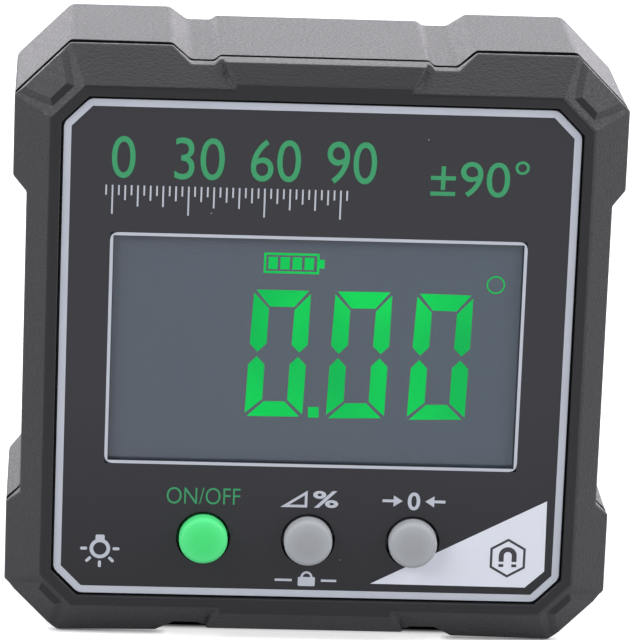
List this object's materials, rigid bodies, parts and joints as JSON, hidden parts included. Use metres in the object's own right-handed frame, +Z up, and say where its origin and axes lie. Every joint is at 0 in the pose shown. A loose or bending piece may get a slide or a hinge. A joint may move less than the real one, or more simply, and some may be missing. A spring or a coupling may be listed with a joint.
{
  "type": "digital inclinometer",
  "caption": "Square digital inclinometer with a bevelled two-part case, display window, round keys, magnetic base and a battery door on the back.",
  "frame": {"origin": "centre of the object's box at the height of the surface that the base stands on", "axes": "+Z up, the display faces -Y, +X to the right of someone who reads it"},
  "size_m": [0.06, 0.0256, 0.06],
  "materials": {
    "case_plastic": "black moulded ABS with a fine spark-eroded texture",
    "black_rubber": "matt black silicone rubber",
    "screw_steel": "zinc-plated steel",
    "magnet_nickel": "nickel-plated magnet",
    "printed_overlay": "dark grey screen-printed polycarbonate film",
    "clear_window": "clear acrylic",
    "display_glass": "negative liquid crystal display, slate ground",
    "white_plastic": "white moulded plastic",
    "lamp_resin": "clear yellow lamp resin",
    "zebra_rubber": "striped conductive rubber",
    "green_rubber": "satin green silicone rubber",
    "grey_rubber": "satin grey silicone rubber",
    "chip_resin": "black moulded resin",
    "board_laminate": "green solder mask over glass laminate",
    "sensor_lid": "metal sensor lid",
    "crystal_can": "bright metal can",
    "cell_jacket": "shrunk plastic jacket over a steel can",
    "contact_steel": "nickel-plated spring steel"
  },
  "bodies": {
    "case": {"front_shell": "case_plastic", "rear_shell": "case_plastic", "shell_gasket": "black_rubber", "key_mat": "black_rubber", "shell_screw_upper_left": "screw_steel", "shell_screw_upper_right": "screw_steel", "shell_screw_lower_left": "screw_steel", "shell_screw_lower_right": "screw_steel", "board_screw_upper_left": "screw_steel", "board_screw_upper_right": "screw_steel", "board_screw_lower_left": "screw_steel", "board_screw_lower_right": "screw_steel", "base_magnet_1": "magnet_nickel", "base_magnet_2": "magnet_nickel", "base_magnet_3": "magnet_nickel", "base_magnet_4": "magnet_nickel", "front_overlay": "printed_overlay", "display_window": "clear_window", "lcd_glass": "display_glass", "lcd_frame": "white_plastic", "backlight_panel": "white_plastic", "backlight_led": "lamp_resin", "zebra_strip_upper": "zebra_rubber", "zebra_strip_lower": "zebra_rubber", "power_switch": "chip_resin", "hold_switch": "chip_resin", "zero_switch": "chip_resin", "circuit_board": "board_laminate", "tilt_sensor": "sensor_lid", "controller_chip": "chip_resin", "clock_crystal": "crystal_can", "battery_cell_upper": "cell_jacket", "battery_cell_lower": "cell_jacket", "battery_spring_upper": "contact_steel", "battery_spring_lower": "contact_steel", "contact_plate_upper_left": "contact_steel", "contact_plate_upper_right": "contact_steel", "contact_plate_lower_left": "contact_steel", "contact_plate_lower_right": "contact_steel"},
    "power_key": {"power_button": "green_rubber", "power_plunger": "chip_resin"},
    "hold_key": {"hold_button": "grey_rubber", "hold_plunger": "chip_resin"},
    "zero_key": {"zero_button": "grey_rubber", "zero_plunger": "chip_resin"},
    "battery_lid": {"battery_door": "case_plastic", "door_seal": "black_rubber", "door_screw_upper": "screw_steel", "door_screw_lower": "screw_steel"}
  },
  "joints": [
    {"name": "power_press", "type": "slide", "parent": "case", "child": "power_key", "axis": [0, 1, 0], "range_m": [0, 0.0006], "stiffness_N_per_m": 2500},
    {"name": "hold_press", "type": "slide", "parent": "case", "child": "hold_key", "axis": [0, 1, 0], "range_m": [0, 0.0006], "stiffness_N_per_m": 2500},
    {"name": "zero_press", "type": "slide", "parent": "case", "child": "zero_key", "axis": [0, 1, 0], "range_m": [0, 0.0006], "stiffness_N_per_m": 2500},
    {"name": "lid_lift", "type": "slide", "parent": "case", "child": "battery_lid", "axis": [0, 1, 0], "range_m": [0, 0.02]}
  ]
}
